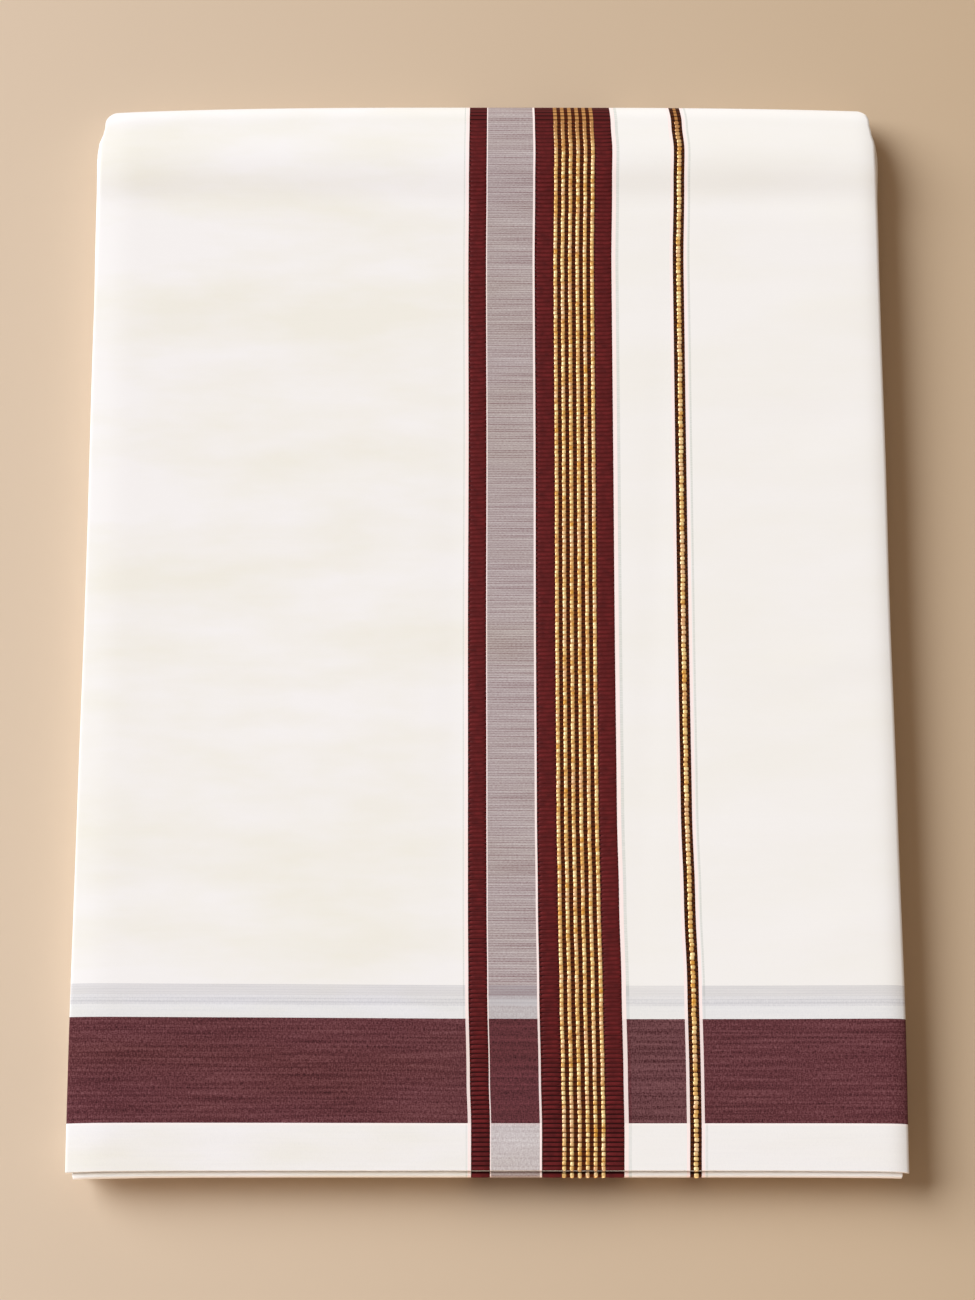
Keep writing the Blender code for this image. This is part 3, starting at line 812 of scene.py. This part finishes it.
def rounded_pad(name):
    """One float, a unit long each way: a flat-topped pad with a rounded rectangle's outline."""
    turns = 2 * np.pi * (np.arange(PAD_SIDES) + 0.5) / PAD_SIDES
    outline = np.column_stack([squarer(np.cos(turns)), squarer(np.sin(turns))]) / 2
    points = [(0, 0, 0.5)]
    for ring in PAD_RINGS:
        points += [(x * ring.size, y * ring.size, ring.height) for x, y in outline]
    beside = [(i + 1) % PAD_SIDES for i in range(PAD_SIDES)]
    faces = [(0, 1 + i, 1 + j) for i, j in enumerate(beside)]
    for first in range(1, 1 + PAD_SIDES * (len(PAD_RINGS) - 1), PAD_SIDES):
        below = first + PAD_SIDES
        faces += [(first + i, below + i, below + j, first + j) for i, j in enumerate(beside)]
    mesh = bpy.data.meshes.new(name)
    mesh.from_pydata(points, [], faces)
    return add_object(name, mesh)


NUDGE = (0.2, 0.35, 0)           # of a float's width and length, times its unevenness


def floats_tree():
    """Repeats a float along each line: one on every cord, as wide as its band, set upright on the cloth."""
    tree = bpy.data.node_groups.new("woven_floats", "GeometryNodeTree")
    tree.interface.new_socket("Geometry", in_out="OUTPUT", socket_type="NodeSocketGeometry")
    for name, kind in (("Lines", "Geometry"), ("Float shape", "Object"), ("Cord pitch", "Float"),
                       ("Float length", "Float"), ("Float height", "Float"), ("Unevenness", "Float"),
                       ("Seed", "Int"), ("Yarn", "Material")):
        tree.interface.new_socket(name, in_out="INPUT", socket_type="NodeSocket" + kind)
    given = add_node(tree, "NodeGroupInput")
    curve = add_node(tree, "GeometryNodeMeshToCurve", {0: given["Lines"]})[0]
    even = add_node(tree, "GeometryNodeResampleCurve", {"Curve": curve, "Length": given["Cord pitch"]},
                    mode="LENGTH")[0]
    cords = add_node(tree, "GeometryNodeCurveToPoints", {"Curve": even}, mode="EVALUATED")
    up = add_node(tree, "GeometryNodeInputNamedAttribute", {"Name": "way_up"}, data_type="FLOAT_VECTOR")[0]
    width = add_node(tree, "GeometryNodeInputNamedAttribute", {"Name": "band_width"}, data_type="FLOAT")[0]
    upright = add_node(tree, "FunctionNodeAlignRotationToVector", {"Vector": up}, axis="Z")[0]
    turned = add_node(tree, "FunctionNodeAlignRotationToVector", {
        "Rotation": upright, "Vector": cords["Tangent"]}, axis="Y", pivot_axis="Z")[0]
    least = add_node(tree, "ShaderNodeMath", {0: 1.0, 1: given["Unevenness"]}, operation="SUBTRACT")[0]
    uneven = add_node(tree, "FunctionNodeRandomValue", {2: least, 3: 1.0, "Seed": given["Seed"]},
                      data_type="FLOAT")[1]
    relative = add_node(tree, "GeometryNodeInputNamedAttribute", {"Name": "relative_height"},
                        data_type="FLOAT")[0]
    tall = add_node(tree, "ShaderNodeMath", {0: given["Float height"], 1: uneven}, operation="MULTIPLY")[0]
    tall = add_node(tree, "ShaderNodeMath", {0: tall, 1: relative}, operation="MULTIPLY")[0]
    nudge = add_node(tree, "FunctionNodeRandomValue", {
        0: [-v for v in NUDGE], 1: NUDGE, "Seed": given["Seed"]}, data_type="FLOAT_VECTOR")[0]
    nudge = add_node(tree, "ShaderNodeVectorMath", {0: nudge, 1: given["Unevenness"]},
                     operation="MULTIPLY")[0]
    size = add_node(tree, "ShaderNodeCombineXYZ", {0: width, 1: given["Float length"], 2: tall})[0]
    shape = add_node(tree, "GeometryNodeObjectInfo", {"Object": given["Float shape"]})["Geometry"]
    placed = add_node(tree, "GeometryNodeInstanceOnPoints", {
        "Points": cords["Points"], "Instance": shape, "Rotation": turned, "Scale": size})[0]
    nudged = add_node(tree, "GeometryNodeTranslateInstances", {0: placed, "Translation": nudge})[0]
    shaded = add_node(tree, "GeometryNodeStoreNamedAttribute", {
        "Geometry": nudged, "Name": "own_shade", "Value": uneven}, data_type="FLOAT", domain="INSTANCE")[0]
    real = add_node(tree, "GeometryNodeRealizeInstances", {0: shaded})[0]
    smooth = add_node(tree, "GeometryNodeSetShadeSmooth", {0: real})[0]
    dressed = add_node(tree, "GeometryNodeSetMaterial", {"Geometry": smooth, "Material": given["Yarn"]})[0]
    add_node(tree, "NodeGroupOutput", {0: dressed})
    return tree


def weave_floats(name, lines, tree, values):
    """Runs the tree on some lines, and keeps the result as a plain mesh."""
    modifier = lines.modifiers.new("floats", "NODES")
    modifier.node_group = tree
    for item in tree.interface.items_tree:
        if item.in_out == "INPUT" and item.name in values:
            modifier[item.identifier] = values[item.name]
    evaluated = lines.evaluated_get(bpy.context.evaluated_depsgraph_get())
    mesh = bpy.data.meshes.new_from_object(evaluated)
    mesh.name = name
    lines.modifiers.remove(modifier)
    bpy.data.objects.remove(lines)
    return add_object(name, mesh)


# Mercerised maroon warp: a denser, slightly glossier yarn than the ground, so the ribs catch a thin light.
FIBRE_BUNDLE = 3 * MM
maroon, tree, shader = start_material("mercerised_maroon_warp", {
    "Roughness": 0.62, "Specular IOR Level": 0.15})
place = add_node(tree, "ShaderNodeTexCoord")["Object"]
fibres = add_node(tree, "ShaderNodeTexNoise", {"Vector": place, "Scale": 1 / FIBRE_BUNDLE, "Detail": 2.0})[0]
shade = add_node(tree, "ShaderNodeMapRange", {"Value": fibres, "From Min": 0.3, "From Max": 0.7})[0]
colour = add_node(tree, "ShaderNodeMix", {0: shade, 6: srgb("#501113"), 7: srgb("#691A1C")},
                  data_type="RGBA")[2]
tree.links.new(colour, shader.inputs["Base Color"])

# Gold zari: gilt foil wound on yarn, a worn metal that is bright on top of each bead and brown at its sides.
FOIL_PATCH = 3.5 * MM
WORN_PATCH = 9 * MM
gold, tree, shader = start_material("gilt_zari_thread", {"Metallic": 0.3, "Roughness": 0.4})
place = add_node(tree, "ShaderNodeTexCoord")["Object"]
patches = add_node(tree, "ShaderNodeTexNoise", {"Vector": place, "Scale": 1 / FOIL_PATCH, "Detail": 2.0})[0]
own_shade = add_node(tree, "ShaderNodeAttribute", attribute_name="own_shade")["Fac"]
shade = add_node(tree, "ShaderNodeMapRange", {
    "Value": add_node(tree, "ShaderNodeMath", {0: patches, 1: own_shade}, operation="ADD")[0],
    "From Min": 1.0, "From Max": 1.5})[0]
foil = add_node(tree, "ShaderNodeMix", {0: shade, 6: srgb("#DC9C3C"), 7: srgb("#FFE3A4")},
                data_type="RGBA")[2]
# Worn stretches are paler and pink, where the core yarn shows.
wear = add_node(tree, "ShaderNodeTexNoise", {"Vector": place, "Scale": 1 / WORN_PATCH, "Detail": 1.0})[0]
worn = add_node(tree, "ShaderNodeMapRange", {
    "Value": wear, "From Min": 0.52, "From Max": 0.66, "To Max": 0.5})[0]
foil = add_node(tree, "ShaderNodeMix", {0: worn, 6: foil, 7: srgb("#EFC2A4")}, data_type="RGBA")[2]
# Where the beads lie flat over the fold, they are as brown as the woven line under them: partly that line's
# own colour, partly painted shade for the darker surroundings the gold reflects where it turns over the
# fold.
standing = add_node(tree, "ShaderNodeAttribute", attribute_name="relative_height")["Fac"]
# Painted shade: the less the beads stand, the more their colour turns to the woven line's brown.
foil_share_not_fold_shade = add_node(tree, "ShaderNodeMapRange", {"Value": standing, "From Min": 0.25, "From Max": 0.85})[0]
colour = add_node(tree, "ShaderNodeMix", {0: foil_share_not_fold_shade, 6: srgb(WOVEN_GOLD), 7: foil}, data_type="RGBA")[2]
tree.links.new(colour, shader.inputs["Base Color"])

tree = floats_tree()
float_shape = rounded_pad("float_shape")
SHOWN_REACH = 3 * MM             # of the fold under the cut end
SEED = 7
top_places = [outer_path[0]._replace(y=FLOATS_START)]
top_places += [station for station in outer_path[1:len(TOP_PLACES)] if FLOATS_START < station.y < FLOATS_END]
front_places = [station for station in second_path if station.y < SHOWN_REACH]
Kind = namedtuple("Kind", "name yarn length height unevenness")
KINDS = (
    Kind(name="bead", yarn=gold, length=1.7 * MM, height=0.55 * MM, unevenness=0.4),
    Kind(name="rib", yarn=maroon, length=1.32 * MM, height=0.28 * MM, unevenness=0.15),
)
for kind in KINDS:
    for leaf, path, outer_ply in (("outer", top_places, 0), ("second", front_places, 3)):
        lines = float_lines(f"{kind.name}_lines_{leaf}", kind.name, path, outer_ply)
        piece = weave_floats(f"{leaf}_leaf_{kind.name}s", lines, tree, {
            "Float shape": float_shape, "Cord pitch": RIB_PITCH, "Float length": kind.length,
            "Float height": kind.height, "Unevenness": kind.unevenness, "Seed": SEED, "Yarn": kind.yarn})
        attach(piece, "root")
bpy.data.objects.remove(float_shape)

# ---- Floor, light and camera ----
# A sheet of plain matt paper, its colour a painted pool of the window's light, lighter to the left.  The
# light is one wide window from the left, a little behind, with a weak warm bounce from the front.  A low
# card in front lights the cut end and the fold under it, and the camera stands in front, high above the
# bundle, with a long lens.

bpy.ops.mesh.primitive_plane_add(size=6, location=(0, 0, -0.1 * MM))
floor = bpy.context.object
floor.name = "studio_floor"
paper, tree, shader = start_material("matt_backdrop_paper", {"Roughness": 0.9, "Specular IOR Level": 0.1})
across = add_node(tree, "ShaderNodeSeparateXYZ", {0: add_node(tree, "ShaderNodeTexCoord")["Object"]})[0]
# Painted light: the floor's colour runs lighter to the left, where the window's light falls brightest.
share = add_node(tree, "ShaderNodeMapRange", {"Value": across, "From Min": -0.2, "From Max": 0.2})[0]
colour = add_node(tree, "ShaderNodeMix", {0: share, 6: srgb("#D9C3AB"), 7: srgb("#C5AC8F")},
                  data_type="RGBA")[2]
tree.links.new(colour, shader.inputs["Base Color"])
floor.data.materials.append(paper)

world = bpy.data.worlds.new("studio")
world.use_nodes = True
world.node_tree.nodes["Background"].inputs["Color"].default_value = srgb("#FFE7D0")
world.node_tree.nodes["Background"].inputs["Strength"].default_value = 0.33
bpy.context.scene.world = world
bpy.context.scene.view_settings.view_transform = "Standard"


def hang_light(name, kind, energy, colour):
    """A new light of one kind."""
    light = add_object(name, bpy.data.lights.new(name, kind))
    light.data.energy = energy
    light.data.color = colour
    return light


WARM = (1.0, 0.82, 0.7)
window = hang_light("window_light", "SUN", energy=4.35, colour=(0.855, 0.928, 1.0))
window.data.angle = np.radians(48)
window.rotation_euler = Vector((0.75, -0.34, -0.57)).to_track_quat("-Z", "Y").to_euler()

bounce = hang_light("front_bounce", "SUN", energy=0.3, colour=WARM)
bounce.data.angle = np.radians(20)
bounce.rotation_euler = Vector((0.05, 1.0, -0.08)).to_track_quat("-Z", "Y").to_euler()

card = hang_light("low_front_card", "AREA", energy=0.0105, colour=WARM)
card.data.shape = "RECTANGLE"
card.data.size = 0.6
card.data.size_y = 6 * MM
card.data.spread = np.radians(6)
card.location = (0, CUT_END - 0.25, 14 * MM)
card.rotation_euler = (np.radians(90), 0, 0)

LENS = 120                       # of a 36 mm long side
CAMERA_TILT = 18.522             # degrees from straight down
CAMERA_BACK = 0.33211            # from the cut end
CAMERA_HEIGHT = 1.62372
camera = add_object("camera", bpy.data.cameras.new("camera"))
camera.data.lens = LENS
camera.data.clip_end = 20
camera.location = (0, CUT_END - CAMERA_BACK, CAMERA_HEIGHT)
camera.rotation_euler = (np.radians(CAMERA_TILT), 0, 0)
bpy.context.scene.camera = camera
